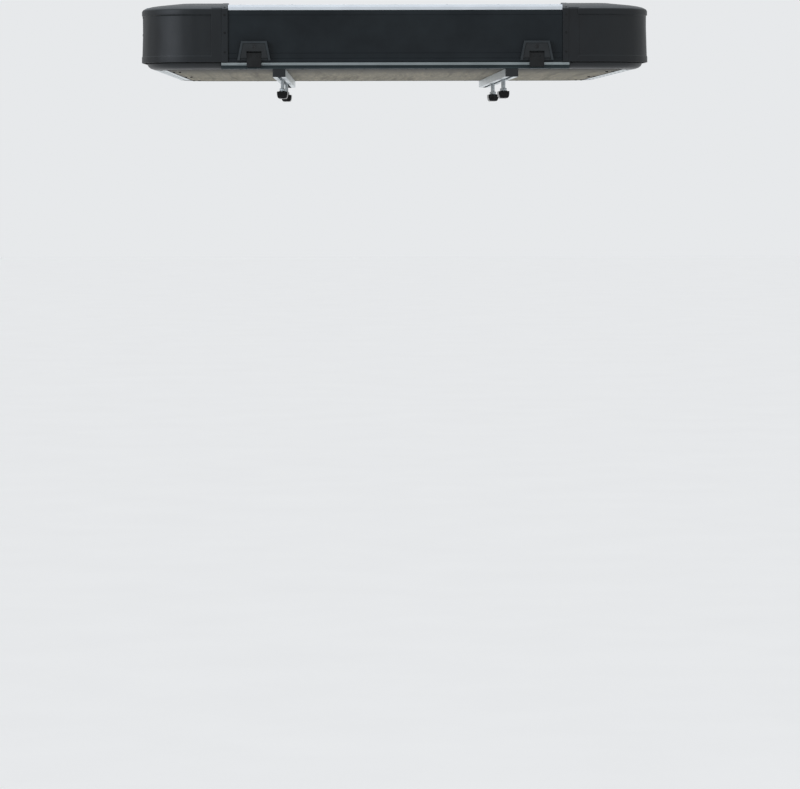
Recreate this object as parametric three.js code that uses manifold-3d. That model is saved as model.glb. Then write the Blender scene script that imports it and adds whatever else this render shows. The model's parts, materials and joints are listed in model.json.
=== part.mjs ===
// Hard-shell roof cargo box. Millimetres, +Z up, -Y is the front (latch) end, +X the right side.
// The origin is centred under the box, at the height of the lowest face of the crossbar clamps.
import * as THREE from 'three';
import { mergeVertices } from 'three/addons/utils/BufferGeometryUtils.js';
import Module from 'manifold-3d';

const wasm = await Module();
wasm.setup();

// ---- overall
const boxWidth = 1388; // across the hems of the lid corners
const boxLength = 2110; // front hem to rear hem
const cornerRadius = 150; // plan radius of the outer corner
const fitGap = 0.3; // between pieces that bear on each other
const seamGap = 0.8; // open joint between base and lid
const endGap = 0.5; // between a rail's end and a corner moulding

// ---- heights, from the clamps upwards
const jawHeight = 20;
const barGap = 32; // room for a vehicle's crossbar
const mountRailHeight = 21.7;
const baseHeight = 17.7;
const lidHeight = 155.1; // lid's lower edge to the roof sheet
const capRise = 7; // corner mouldings stand above the roof sheet

const mountRailBottom = jawHeight + barGap;
const underside = mountRailBottom + mountRailHeight + fitGap;
const baseTop = underside + baseHeight;
const lidBottom = baseTop + seamGap;
const roofTop = lidBottom + lidHeight;
const capTop = roofTop + capRise;

// ---- base frame: offsets are measured inwards from the hem outline
const railFace = 3; // nose of the end rails, flush with the lid rails
const noseHeight = 9.2;
const noseGroove = 0.8; // depth of the groove along the nose
const grooveHeight = 4.5; // undercut below the nose, where the latch hooks bite
const grooveDepth = 5;
const lowerFace = 5; // face of the end rail below the undercut
const sideTopInset = 15; // side rails and corners at the seam
const sideBottomInset = 42; // and where their rounded underside ends
const panelInset = 67; // edge of the floor panel
const ledge = 30; // inner edge of the sealing ledge
const lipReach = 23; // the rail's lip over the floor panel
const railWall = 3;
const baseReach = 221.8; // base corner moulding, from the outer corner along each side
const panelThickness = 12;
const matThickness = 5;

// ---- lid
const lidReach = 240.5; // lid corner moulding, from the outer corner along each side
const lidWall = 3;
const mouldingWall = 4;
const hemHeight = 16;
const hemProud = 1.5;
const wallDraft = 3.5;
const rimHeight = 33.6; // overhanging rim round the top of a corner moulding
const rimFaceHeight = 11;
const rimProud = 4;
const capRound = 45; // width of the rounded shoulder of a corner moulding
const capFall = 6.5; // from the moulding's highest line down to the shoulder
const capBand = 110; // how far a corner moulding laps onto the roof
const sheetInset = 75; // edge of the roof sheet under a corner moulding
const seamBand = 45; // flat-faced band of a corner moulding beside each rail
const bandProud = 0.5; // how far the band stands above the moulding's rounded top
const stripHeight = 15; // folded edge of the roof sheet
const sheetChamfer = 7;
const sheetThickness = 2;
const sealFlange = 6; // height of the sealing flange above the lid's lower edge
const grooveSize = 1; // decorative grooves in the lid rails
const grooveHeights = [10, 24, 127]; // above the lid's lower edge
const sealWidth = 10;
const bowWidth = 40;
const bowHeight = 18;
const bowSpacing = 900;

// ---- hinges
const knuckleRadius = 7.5;
const knuckleGap = 0.6; // round a knuckle that turns in the other leaf
const pinRadius = 3.9;
const pinClearance = 0.3;
const pinHead = 2; // height of the pin's head, and how far it stands out
const hingeInset = 294; // hinge centre, in from the box's side
const hingeWidth = 60;
const hingeBarrel = 24; // length of the middle knuckle
const leafThickness = 3;
const lidLeafHeight = 46;

// ---- latches
const latchInset = 311; // latch centre, in from the box's side
const latchWidth = 90;
const latchTopWidth = 69;
const latchHeight = 52;
const latchRise = 4.5; // latch above the lid's lower edge
const latchBorder = 6;
const backPlate = 2;
const leverPivotOut = 7; // out from the lid rail's face
const leverPivotRise = 15; // above the lid's lower edge
const hookPivotRise = 8; // hook pivot above the lever pivot
const leverThickness = 3.5;
const leverRecess = 1.3; // lever's face behind the border's
const leverGap = 0.6;
const leverPin = 2.4;
const leverPinSeat = 3.5; // how far the lever's pin enters the housing's sides
const hookWidth = 39.8;
const hookSideGap = 0.4;
const hookThickness = 3;
const hookEye = 3.2;
const strapInset = 2; // strap's inner face, in from the back of the eye
const hookPin = 1.8;
const toeHeight = 2.7;
const toeReach = 4; // under the nose
const toeGap = 0.8;
const lugThickness = 4.5;
const lockRadius = 5.5;
const lockLength = 8.5;
const lockDrop = 10; // lock's axis below the housing's top border
const camReach = 8;

// ---- gas struts: pivots are measured forwards and upwards from the lid's hinge axis
const strutInset = 55; // in from the box's side
const strutFootBack = 200;
const strutFootRise = 15;
const strutHeadBack = 500;
const strutHeadRise = 115;
const strutRadius = 9;
const rodRadius = 4;
const rodClearance = 0.5;
const eyeRadius = 8;
const eyeWidth = 8;
const studRadius = 4;
const strutTube = 216;
const rodOverlap = 80; // length of rod inside the tube with the lid shut
const tubeEnd = 30; // closed end of the bore
const bracketPlate = 3;
const bracketHalf = 30; // half length of the foot bracket
const earThickness = 4;
const earHalf = 12;

// ---- mounting rails and crossbar clamps
const mountRailInset = 378.5; // rail centre, in from the box's side
const mountRailWidth = 35;
const slotWidth = 11;
const endCapThickness = 3;
const clampPositions = { front: -475, rear: 322 };
const clampLength = 124;
const studSpacing = 96;
const clampStud = 4;
const studClearance = 0.4;
const channelPlate = 5;
const jawWidth = 30;
const jawFoot = 18; // width of the flat underneath
const jawFloor = 1.5; // left below the stud's hole

const halfWidth = boxWidth / 2;
const halfLength = boxLength / 2;
const hingeX = halfWidth - hingeInset;
const latchX = halfWidth - latchInset;
const strutX = halfWidth - strutInset;
const mountRailX = halfWidth - mountRailInset;
const lipBottom = underside + panelThickness + fitGap;
const hardwareFace = halfLength - railFace + fitGap; // back of the latches and hinges
const hingeAxisY = hardwareFace + knuckleRadius;
const hingeAxisZ = baseTop + seamGap / 2;

// ---- materials
function finish(color, roughness, metalness) {
  return new THREE.MeshStandardMaterial({ color, roughness, metalness });
}

const finishes = {
  plywood: finish('#b5ac96', 0.7, 0),
  mat: finish('#3b3d40', 0.95, 0),
  silver: finish('#c9ced2', 0.35, 0.9),
  blackRail: finish('#24282b', 0.5, 0.3),
  moulding: finish('#3a3e41', 0.4, 0),
  rubber: finish('#17181a', 0.8, 0),
  steel: finish('#9fa4a6', 0.35, 0.95),
  blackSteel: finish('#1b1d1f', 0.45, 0.5),
  latchPlastic: finish('#1f2224', 0.4, 0),
  brass: finish('#b09a5c', 0.35, 0.9),
};

// ---- solids
function toSolid(geometry) {
  const bare = geometry.index ? geometry.clone() : geometry;
  bare.deleteAttribute('normal');
  bare.deleteAttribute('uv');
  const merged = mergeVertices(bare, 1e-4);
  const solid = new wasm.Mesh({
    numProp: 3,
    vertProperties: new Float32Array(merged.attributes.position.array),
    triVerts: new Uint32Array(merged.index.array),
  });
  return new wasm.Manifold(solid);
}

function toGeometry(solid) {
  const mesh = solid.getMesh();
  const geometry = new THREE.BufferGeometry();
  geometry.setAttribute('position', new THREE.BufferAttribute(mesh.vertProperties, 3));
  geometry.setIndex(new THREE.BufferAttribute(mesh.triVerts, 1));
  geometry.computeVertexNormals();
  return geometry;
}

function join(...geometries) {
  return toGeometry(geometries.map(toSolid).reduce((whole, piece) => whole.add(piece)));
}

function cut(geometry, ...tools) {
  return toGeometry(tools.map(toSolid).reduce((rest, tool) => rest.subtract(tool), toSolid(geometry)));
}

// A box given by its lowest and highest corner.
function block(low, high) {
  const size = high.map((value, axis) => value - low[axis]);
  const centre = high.map((value, axis) => (value + low[axis]) / 2);
  return new THREE.BoxGeometry(...size).translate(...centre);
}

// A round bar along X from x0 to x1 through (y, z).
function barAlongX(radius, x0, x1, y, z, sides = 16) {
  return new THREE.CylinderGeometry(radius, radius, x1 - x0, sides)
    .rotateZ(Math.PI / 2)
    .translate((x0 + x1) / 2, y, z);
}

// A round bar along Z from z0 to z1 through (x, y).
function barAlongZ(radius, z0, z1, x, y, sides = 12) {
  return new THREE.CylinderGeometry(radius, radius, z1 - z0, sides)
    .rotateX(Math.PI / 2)
    .translate(x, y, (z0 + z1) / 2);
}

// A rectangle with round corners, inset from the hem outline.
function insetOutline(inset) {
  const x = halfWidth - inset;
  const y = halfLength - inset;
  const radius = cornerRadius - inset;
  const outline = new THREE.Shape();
  outline.moveTo(-x + radius, -y);
  outline.absarc(x - radius, -y + radius, radius, -Math.PI / 2, 0);
  outline.absarc(x - radius, y - radius, radius, 0, Math.PI / 2);
  outline.absarc(-x + radius, y - radius, radius, Math.PI / 2, Math.PI);
  outline.absarc(-x + radius, -y + radius, radius, Math.PI, Math.PI * 1.5);
  return outline;
}

// Every quarter turn of the box has the same facets, so that nested outlines stay parallel.
const turnFacets = 8;

function flatPlate(outline, bottom, thickness) {
  const options = { depth: thickness, bevelEnabled: false, curveSegments: turnFacets / 2 };
  return new THREE.ExtrudeGeometry(outline, options).translate(0, 0, bottom);
}

// ---- the two ways a cross-section is carried along the edge of the box
// A section is a Shape in (inset, height): inset 0 is the hem line and grows inwards.
const curveSteps = 4;

function straightRun(section, length) {
  const points = section.getPoints(curveSteps).map((p) => new THREE.Vector2(-p.x, p.y));
  const options = { depth: length, bevelEnabled: false };
  const frame = new THREE.Matrix4().makeBasis(
    new THREE.Vector3(0, -1, 0), new THREE.Vector3(0, 0, 1), new THREE.Vector3(-1, 0, 0));
  return new THREE.ExtrudeGeometry(new THREE.Shape(points), options)
    .applyMatrix4(frame)
    .translate(length / 2, 0, 0);
}

// Straight leg, quarter turn, straight leg, about the centre of the turn.
class CornerPath extends THREE.Curve {
  constructor(radius, leg, turns) {
    super();
    this.radius = radius;
    this.leg = leg;
    this.turns = turns;
    this.steps = turns + 2;
  }

  angleAt(t) {
    const turned = THREE.MathUtils.clamp((t * this.steps - 1) / this.turns, 0, 1);
    return (turned - 1) * Math.PI / 2;
  }

  getPoint(t, target = new THREE.Vector3()) {
    const angle = this.angleAt(t);
    const before = Math.max(0, 1 - t * this.steps) * this.leg;
    const after = Math.max(0, t * this.steps - this.steps + 1) * this.leg;
    return target.set(this.radius * Math.cos(angle) - before, this.radius * Math.sin(angle) + after, 0);
  }

  getTangent(t, target = new THREE.Vector3()) {
    const angle = this.angleAt(t);
    return target.set(-Math.sin(angle), Math.cos(angle), 0);
  }

  getUtoTmapping(u) {
    return u;
  }
}

function cornerRun(section, reach) {
  const path = new CornerPath(cornerRadius, reach - cornerRadius, turnFacets);
  const points = section.getPoints(curveSteps).map((p) => new THREE.Vector2(-p.y, p.x));
  const options = { steps: path.steps, extrudePath: path, bevelEnabled: false };
  return new THREE.ExtrudeGeometry(new THREE.Shape(points), options);
}

function sectionFrom(points) {
  return new THREE.Shape(points.map(([inset, height]) => new THREE.Vector2(inset, height)));
}

// ---- base
// Nose and undercut outside, sealing ledge on top, lip over the floor panel inside.
function endRailSection() {
  const noseBottom = baseTop - noseHeight;
  const grooveBottom = noseBottom - grooveHeight;
  const wallInside = railFace + grooveDepth + railWall;
  const noseMiddle = baseTop - noseHeight / 2;
  return sectionFrom([
    [panelInset - fitGap, underside],
    [lowerFace, underside],
    [lowerFace, grooveBottom],
    [railFace + grooveDepth, grooveBottom],
    [railFace + grooveDepth, noseBottom],
    [railFace, noseBottom],
    [railFace, noseMiddle - 2 * noseGroove],
    [railFace + noseGroove, noseMiddle - noseGroove],
    [railFace + noseGroove, noseMiddle + noseGroove],
    [railFace, noseMiddle + 2 * noseGroove],
    [railFace, baseTop - 1],
    [railFace + 1, baseTop],
    [ledge + railWall, baseTop],
    [ledge + railWall, lipBottom + railWall],
    [panelInset + lipReach, lipBottom + railWall],
    [panelInset + lipReach, lipBottom],
    [ledge, lipBottom],
    [ledge, baseTop - railWall],
    [wallInside, baseTop - railWall],
    [wallInside, underside + railWall],
    [panelInset - fitGap, underside + railWall],
  ]);
}

// The same ledge and lip with a rounded underside.
function roundedBaseSection() {
  const shoulder = baseTop - railWall;
  const section = new THREE.Shape();
  section.moveTo(panelInset - fitGap, underside);
  section.lineTo(sideBottomInset, underside);
  section.quadraticCurveTo(sideTopInset + 4, underside + 1, sideTopInset, shoulder);
  section.lineTo(sideTopInset, baseTop);
  section.lineTo(ledge + railWall, baseTop);
  section.lineTo(ledge + railWall, lipBottom + railWall);
  section.lineTo(panelInset + lipReach, lipBottom + railWall);
  section.lineTo(panelInset + lipReach, lipBottom);
  section.lineTo(ledge, lipBottom);
  section.lineTo(ledge, shoulder);
  section.lineTo(sideTopInset + railWall, shoulder);
  section.quadraticCurveTo(
    sideTopInset + railWall + 4, underside + railWall + 1, sideBottomInset, underside + railWall);
  section.lineTo(panelInset - fitGap, underside + railWall);
  return section;
}

function floorPanel() {
  return flatPlate(insetOutline(panelInset), underside, panelThickness);
}

function floorMat() {
  return flatPlate(insetOutline(panelInset + lipReach + 5), lipBottom, matThickness);
}

// ---- lid
function lidRailSection() {
  const top = roofTop - stripHeight - fitGap;
  const flange = lidBottom + sealFlange;
  const inside = railFace + lidWall;
  const grooves = grooveHeights.flatMap((height) => [
    [railFace, lidBottom + height - grooveSize],
    [railFace + grooveSize, lidBottom + height],
    [railFace, lidBottom + height + grooveSize],
  ]);
  return sectionFrom([
    [railFace, lidBottom],
    ...grooves,
    [railFace, top],
    [ledge, top],
    [ledge, top - lidWall],
    [inside, top - lidWall],
    [inside, flange + lidWall],
    [ledge, flange + lidWall],
    [ledge, flange],
    [inside, flange],
    [inside, lidBottom],
  ]);
}

const rimBottom = capTop - rimHeight;
const rimTop = rimBottom + rimFaceHeight;
const hemTop = lidBottom + hemHeight;
const wallTop = hemProud + wallDraft;
const rimFace = wallTop - rimProud;
const shoulder = rimFace + capRound;

// Hem, drafted wall, overhanging rim, rounded shoulder and the slope that laps onto the roof.
function lidCornerSection() {
  const wall = mouldingWall;
  const flange = lidBottom + sealFlange;
  const bandBottom = roofTop + fitGap;
  const lapStart = sheetInset - 3;
  const section = new THREE.Shape();
  section.moveTo(wall, lidBottom);
  section.lineTo(0, lidBottom);
  section.lineTo(0, hemTop);
  section.lineTo(hemProud, hemTop + 2);
  section.lineTo(wallTop, rimBottom - 2);
  section.lineTo(rimFace, rimBottom);
  section.lineTo(rimFace, rimTop);
  section.quadraticCurveTo(rimFace, rimTop + rimFaceHeight, shoulder, capTop - capFall);
  section.lineTo(capBand, capTop);
  section.lineTo(capBand, bandBottom);
  section.lineTo(lapStart, bandBottom);
  section.lineTo(lapStart - 3, bandBottom - 1.5);
  section.lineTo(shoulder, capTop - capFall - wall);
  section.quadraticCurveTo(rimFace + wall, rimTop + rimFaceHeight - wall, rimFace + wall, rimTop);
  section.lineTo(wallTop + wall, rimBottom - 2);
  section.lineTo(hemProud + wall, hemTop + 2);
  section.lineTo(hemProud + wall, flange + wall);
  section.lineTo(ledge, flange + wall);
  section.lineTo(ledge, flange);
  section.lineTo(wall, flange);
  return section;
}

// Flat-faced band beside a rail; its inner side is buried in the wall of the moulding.
function seamBandSection() {
  const deep = mouldingWall / 2;
  const round = new THREE.QuadraticBezierCurve(
    new THREE.Vector2(0, rimTop),
    new THREE.Vector2(0, rimTop + rimFaceHeight),
    new THREE.Vector2(shoulder, capTop - capFall + bandProud),
  );
  return sectionFrom([
    [deep, lidBottom],
    [0, lidBottom],
    ...round.getPoints(5).map((point) => [point.x, point.y]),
    [capBand, capTop],
    [capBand, capTop - deep],
    [shoulder, capTop - capFall - deep],
    [12 + deep, capTop - 15],
    [rimFace + deep, rimTop],
    [rimFace + deep, rimBottom],
    [wallTop + deep, rimBottom - deep],
    [hemProud + deep, hemTop + deep],
    [deep, hemTop],
  ]);
}

function lidCorner() {
  const leg = lidReach - cornerRadius;
  const ends = [0, 1].map((end) => straightRun(seamBandSection(), seamBand)
    .translate(end ? leg - seamBand / 2 : seamBand / 2 - leg, -cornerRadius, 0)
    .rotateZ(end * Math.PI / 2));
  return join(cornerRun(lidCornerSection(), lidReach), ...ends);
}

// Flat sheet with an edge folded down between the corner mouldings.
function roofEdgeSection() {
  const bottom = roofTop - stripHeight;
  const inner = sheetInset + 2;
  const slope = sheetChamfer * 1.1;
  return sectionFrom([
    [railFace, bottom],
    [railFace, roofTop - sheetChamfer],
    [railFace + sheetChamfer, roofTop],
    [inner, roofTop],
    [inner, roofTop - sheetThickness],
    [railFace + slope, roofTop - sheetThickness],
    [railFace + sheetThickness, roofTop - slope],
    [railFace + sheetThickness, bottom],
  ]);
}

function roofPanel() {
  const sheet = flatPlate(insetOutline(sheetInset), roofTop - sheetThickness, sheetThickness);
  const section = roofEdgeSection();
  const edges = [0, 1, 2, 3].map((quarter) => {
    const ends = quarter % 2 === 0;
    const length = (ends ? boxWidth : boxLength) - 2 * (lidReach + endGap);
    const offset = ends ? halfLength : halfWidth;
    return straightRun(section, length).translate(0, -offset, 0).rotateZ(quarter * Math.PI / 2);
  });
  return join(sheet, ...edges);
}

function lidSeal() {
  const inset = ledge - 2 - sealWidth;
  const outline = insetOutline(inset);
  outline.holes.push(insetOutline(inset + sealWidth));
  const bottom = baseTop + fitGap;
  return flatPlate(outline, bottom, lidBottom + sealFlange - fitGap - bottom);
}

// Square channel across the lid, open side down, standing on the flanges of the side rails.
function roofBow() {
  const half = halfWidth - ledge - 1;
  const top = roofTop - sheetThickness - fitGap;
  const wall = 2;
  const body = block([-half, -bowWidth / 2, top - bowHeight], [half, bowWidth / 2, top]);
  const hollow = block(
    [-half - 1, -bowWidth / 2 + wall, top - bowHeight - 1], [half + 1, bowWidth / 2 - wall, top - wall]);
  return cut(body, hollow);
}

// ---- hinges, about the X axis through the pin
function knuckle(x0, x1) {
  return barAlongX(knuckleRadius, x0, x1, 0, 0, 24);
}

function pinBore() {
  return barAlongX(pinRadius + pinClearance, -hingeWidth, hingeWidth, 0, 0);
}

function hingeLidLeaf() {
  const half = hingeWidth / 2;
  const inner = hingeBarrel / 2;
  const notch = knuckleRadius + knuckleGap;
  const plate = block([-half, -knuckleRadius, 0], [half, leafThickness - knuckleRadius, lidLeafHeight]);
  const leaf = join(cut(plate, block([-inner, -20, -20], [inner, 20, notch])),
    knuckle(-half, -inner), knuckle(inner, half));
  return cut(leaf, pinBore());
}

function hingeBaseLeaf() {
  const half = hingeWidth / 2;
  const inner = hingeBarrel / 2 - endGap;
  const bottom = underside + 1 - hingeAxisZ;
  const shoulder = -knuckleRadius - knuckleGap;
  const back = -knuckleRadius;
  const front = leafThickness - knuckleRadius;
  const leaf = join(block([-half, back, bottom], [half, front, shoulder]),
    block([-inner, back, shoulder - 1], [inner, front, 0]), knuckle(-inner, inner));
  return cut(leaf, pinBore());
}

function hingePin() {
  const end = hingeWidth / 2 + fitGap;
  const head = pinRadius + pinHead;
  const profile = [[0, -end - pinHead], [head, -end - pinHead], [head, -end], [pinRadius, -end],
    [pinRadius, end], [head, end], [head, end + pinHead], [0, end + pinHead]];
  return new THREE.LatheGeometry(profile.map(([r, h]) => new THREE.Vector2(r, h)), 16)
    .rotateZ(-Math.PI / 2);
}

// ---- latch: x across, y 0 at the lid rail's face and negative outwards, z from the lid's lower edge
const latchDepth = 2 * knuckleRadius;
const latchTop = latchRise + latchHeight;
const latchSlope = (latchWidth - latchTopWidth) / 2 / latchHeight;
const hookPivotZ = leverPivotRise + hookPivotRise;
const lockRise = latchTop - latchBorder - leverPivotRise - lockDrop; // above the lever pivot

function trapezoid(inset, bottom, top, y0, y1) {
  const halfAt = (z) => latchWidth / 2 - (z - latchRise) * latchSlope - inset;
  const outline = new THREE.Shape([
    new THREE.Vector2(-halfAt(bottom), bottom),
    new THREE.Vector2(halfAt(bottom), bottom),
    new THREE.Vector2(halfAt(top), top),
    new THREE.Vector2(-halfAt(top), top),
  ]);
  return new THREE.ExtrudeGeometry(outline, { depth: y1 - y0, bevelEnabled: false })
    .rotateX(Math.PI / 2)
    .translate(0, y1, 0);
}

function innerHalfAt(z) {
  return latchWidth / 2 - (z - latchRise) * latchSlope - latchBorder;
}

// Border on top and at both sides, open at the bottom where the hook comes down.
function latchHousing() {
  const inner = trapezoid(
    latchBorder, latchRise - 1, latchTop - latchBorder, -latchDepth - 1, -backPlate);
  const seat = innerHalfAt(leverPivotRise) + leverPinSeat;
  const pinBore = barAlongX(leverPin + pinClearance, -seat, seat, -leverPivotOut, leverPivotRise);
  return cut(trapezoid(0, latchRise, latchTop, -latchDepth, 0), inner, pinBore);
}

// About the lever's pivot: a plate with a way for the hook, lugs either side of it and two pins.
function latchLever() {
  const face = leverRecess - latchDepth + leverPivotOut;
  const back = face + leverThickness;
  const half = hookWidth / 2 + hookSideGap;
  const lugTop = hookPivotRise + hookEye;
  const pinEnd = innerHalfAt(leverPivotRise) + leverPinSeat - fitGap;
  const rim = latchBorder + leverGap;
  const plate = trapezoid(rim, latchRise + rim, latchTop - rim, face, back)
    .translate(0, 0, -leverPivotRise);
  const hookWay = block([-half, face - 1, -latchHeight], [half, back + 1, lugTop + 3]);
  const lockHole = barAlongX(lockRadius + pinClearance, -latchDepth, latchDepth, 0, 0)
    .rotateZ(Math.PI / 2)
    .translate(0, 0, lockRise);
  const lugs = [-1, 1].map((side) => {
    const edges = [side * half, side * (half + lugThickness)].sort((a, b) => a - b);
    return block([edges[0], back - 0.5, -3], [edges[1], 2.5, lugTop]);
  });
  const pins = [-1, 1].map((side) => {
    const edges = [side * (half + 1), side * pinEnd].sort((a, b) => a - b);
    return barAlongX(leverPin, edges[0], edges[1], 0, 0);
  });
  const hookAxle = barAlongX(hookPin, -half - 1, half + 1, 0, hookPivotRise);
  return join(cut(plate, hookWay, lockHole), ...lugs, ...pins, hookAxle);
}

// About the hook's pivot: an eye, a strap down over the nose and a toe below it.
function latchHook() {
  const half = hookWidth / 2;
  const toeTop = -seamGap - noseHeight - toeGap - hookPivotZ;
  const toeTip = leverPivotOut + toeReach;
  const inner = hookEye - strapInset;
  const outer = inner - hookThickness;
  const outline = new THREE.Shape([
    [outer, 0], [outer, toeTop - toeHeight], [toeTip, toeTop - toeHeight],
    [toeTip, toeTop], [inner, toeTop], [inner, 0],
  ].map(([y, z]) => new THREE.Vector2(y, z)));
  const strap = new THREE.ExtrudeGeometry(outline, { depth: hookWidth, bevelEnabled: false })
    .applyMatrix4(new THREE.Matrix4().makeBasis(
      new THREE.Vector3(0, 1, 0), new THREE.Vector3(0, 0, 1), new THREE.Vector3(1, 0, 0)))
    .translate(-half, 0, 0);
  const eye = barAlongX(hookEye, -half, half, 0, 0);
  return cut(join(strap, eye), barAlongX(hookPin + pinClearance, -half - 1, half + 1, 0, 0));
}

// About its own axis, with the cam upwards.
function latchLock() {
  const face = leverRecess - latchDepth + leverPivotOut;
  const end = face + lockLength;
  const barrel = new THREE.CylinderGeometry(lockRadius, lockRadius, lockLength, 16)
    .translate(0, face + lockLength / 2, 0);
  const keyway = block([-0.8, face - 1, -3], [0.8, face + 2, 3]);
  const cam = block([-2.5, end - 1.5, -2], [2.5, end, camReach]);
  return join(cut(barrel, keyway), cam);
}

// ---- gas struts, about the foot pivot and pointing to -Y
const strutRun = strutHeadBack - strutFootBack;
const strutLift = strutHeadRise - strutFootRise;
const strutLength = Math.hypot(strutRun, strutLift);
const strutTilt = Math.atan2(strutLift, strutRun);

function strutEye(y) {
  return barAlongX(eyeRadius, -eyeWidth / 2, eyeWidth / 2, y, 0);
}

function eyeBore(y) {
  return barAlongX(studRadius + pinClearance, -eyeWidth, eyeWidth, y, 0);
}

// Closed end at the foot, open end for the rod.
function strutCylinder() {
  const start = eyeRadius - 1;
  const bore = rodRadius + rodClearance;
  const profile = [[0, start], [strutRadius, start + 3], [strutRadius, start + strutTube],
    [bore, start + strutTube], [bore, start + tubeEnd], [0, start + tubeEnd]];
  const tube = new THREE.LatheGeometry(profile.map(([r, h]) => new THREE.Vector2(r, h)), 16)
    .rotateX(Math.PI);
  return cut(join(tube, strutEye(0)), eyeBore(0));
}

function strutRod() {
  const inner = eyeRadius - 1 + strutTube - rodOverlap;
  const length = strutLength - inner;
  const shaft = new THREE.CylinderGeometry(rodRadius, rodRadius, length, 16)
    .translate(0, -inner - length / 2, 0);
  return cut(join(shaft, strutEye(-strutLength)), eyeBore(-strutLength));
}

// Plate on the base rail's lip, ear beside the strut, stud through its eye. For the right side.
function strutFoot() {
  const ear = -strutRadius - 0.5;
  const floor = lipBottom + railWall + fitGap - (hingeAxisZ + strutFootRise);
  const inner = strutInset - panelInset - lipReach + 2;
  const outer = strutInset - ledge - railWall - 2;
  const plate = block([inner, -bracketHalf, floor], [outer, bracketHalf, floor + bracketPlate]);
  const upright = block([ear - earThickness, -earHalf, floor], [ear, earHalf, eyeRadius + 2]);
  const stud = barAlongX(studRadius, ear - 1, eyeWidth / 2 + 2, 0, 0);
  return join(plate, upright, stud);
}

// Plate on the lid's side rail with an arm that ends beside the rod's eye. For the right side.
function strutHead() {
  const wall = strutInset - railFace - lidWall - fitGap;
  const plate = block([wall - bracketPlate, -25, -20], [wall, 25, 16]);
  const arm = block([strutRadius + 2, -earHalf, -eyeRadius], [wall, earHalf, eyeRadius]);
  const boss = barAlongX(eyeRadius, strutRadius + 0.5, strutRadius + 4, 0, 0);
  return join(plate, arm, boss);
}

// ---- mounting rails and clamps
function mountRailLength() {
  return boxLength - 2 * (lowerFace + endCapThickness + fitGap);
}

// C-shaped extrusion with its slot underneath.
function mountRail() {
  const half = mountRailWidth / 2;
  const top = underside - fitGap;
  const slot = slotWidth / 2;
  const inner = half - railWall;
  const lip = mountRailBottom + railWall;
  const length = mountRailLength();
  const outline = new THREE.Shape([
    [-half, top], [-half, mountRailBottom], [-slot, mountRailBottom], [-slot, lip],
    [-inner, lip], [-inner, top - railWall], [inner, top - railWall], [inner, lip],
    [slot, lip], [slot, mountRailBottom], [half, mountRailBottom], [half, top],
  ].map(([x, z]) => new THREE.Vector2(x, z)));
  return new THREE.ExtrudeGeometry(outline, { depth: length, bevelEnabled: false })
    .rotateX(Math.PI / 2)
    .translate(0, length / 2, 0);
}

// Cover with a plug that reaches into the rail; the cover's outer side faces -Y.
function railEndCap() {
  const half = mountRailWidth / 2;
  const top = underside - fitGap;
  const plugHalf = half - railWall - fitGap;
  const cover = block([-half, 0, mountRailBottom], [half, endCapThickness, top]);
  const plug = block([-plugHalf, endCapThickness - 1, mountRailBottom + railWall + fitGap],
    [plugHalf, endCapThickness + 15, top - railWall - fitGap]);
  return join(cover, plug);
}

// Plate in the rail's channel with two studs hanging through the slot.
function clampCarriage() {
  const half = mountRailWidth / 2 - railWall - 2;
  const bottom = mountRailBottom + railWall + fitGap;
  const plate = block([-half, -clampLength / 2, bottom], [half, clampLength / 2, bottom + channelPlate]);
  const studs = [-1, 1].map((end) =>
    barAlongZ(clampStud, jawFloor + 0.5, bottom + 1, 0, end * studSpacing / 2));
  return join(plate, ...studs);
}

// Saddle bar under the crossbar, with rounded lower edges and a blind hole for each stud.
function clampJaw() {
  const half = jawWidth / 2;
  const foot = jawFoot / 2;
  const outline = new THREE.Shape();
  outline.moveTo(-half, jawHeight);
  outline.lineTo(-half, jawHeight * 0.6);
  outline.quadraticCurveTo(-half + 1, 1, -foot, 0);
  outline.lineTo(foot, 0);
  outline.quadraticCurveTo(half - 1, 1, half, jawHeight * 0.6);
  outline.lineTo(half, jawHeight);
  const body = new THREE.ExtrudeGeometry(outline, { depth: clampLength, bevelEnabled: false, curveSegments: 5 })
    .rotateX(Math.PI / 2)
    .translate(0, clampLength / 2, 0);
  const holes = [-1, 1].map((end) =>
    barAlongZ(clampStud + studClearance, jawFloor, jawHeight + 1, 0, end * studSpacing / 2));
  return cut(body, ...holes);
}

// ---- assembly
const cargoBox = new THREE.Group();
const base = new THREE.Group();
const lid = new THREE.Group();
cargoBox.add(base, lid);

function add(group, name, geometry, material, position = [0, 0, 0], turn = 0) {
  const mesh = new THREE.Mesh(geometry, material);
  mesh.name = name;
  mesh.position.set(...position);
  mesh.rotation.z = turn;
  group.add(mesh);
  return mesh;
}

// The four sides and corners, each turned a further quarter from the front.
const sides = ['front', 'right', 'rear', 'left'];
const corners = ['front_right', 'rear_right', 'rear_left', 'front_left'];

sides.forEach((side, quarter) => {
  const turn = quarter * Math.PI / 2;
  const atEnd = quarter % 2 === 0;
  const span = atEnd ? boxWidth : boxLength;
  const outwards = atEnd ? halfLength : halfWidth;
  const position = [outwards * Math.round(Math.sin(turn)), -outwards * Math.round(Math.cos(turn)), 0];
  const baseSection = atEnd ? endRailSection() : roundedBaseSection();
  const baseRail = straightRun(baseSection, span - 2 * (baseReach + endGap));
  const lidRail = straightRun(lidRailSection(), span - 2 * (lidReach + endGap));
  add(base, `base_${side}_rail`, baseRail, finishes.silver, position, turn);
  add(lid, `lid_${side}_rail`, lidRail, finishes.blackRail, position, turn);
});

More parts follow.
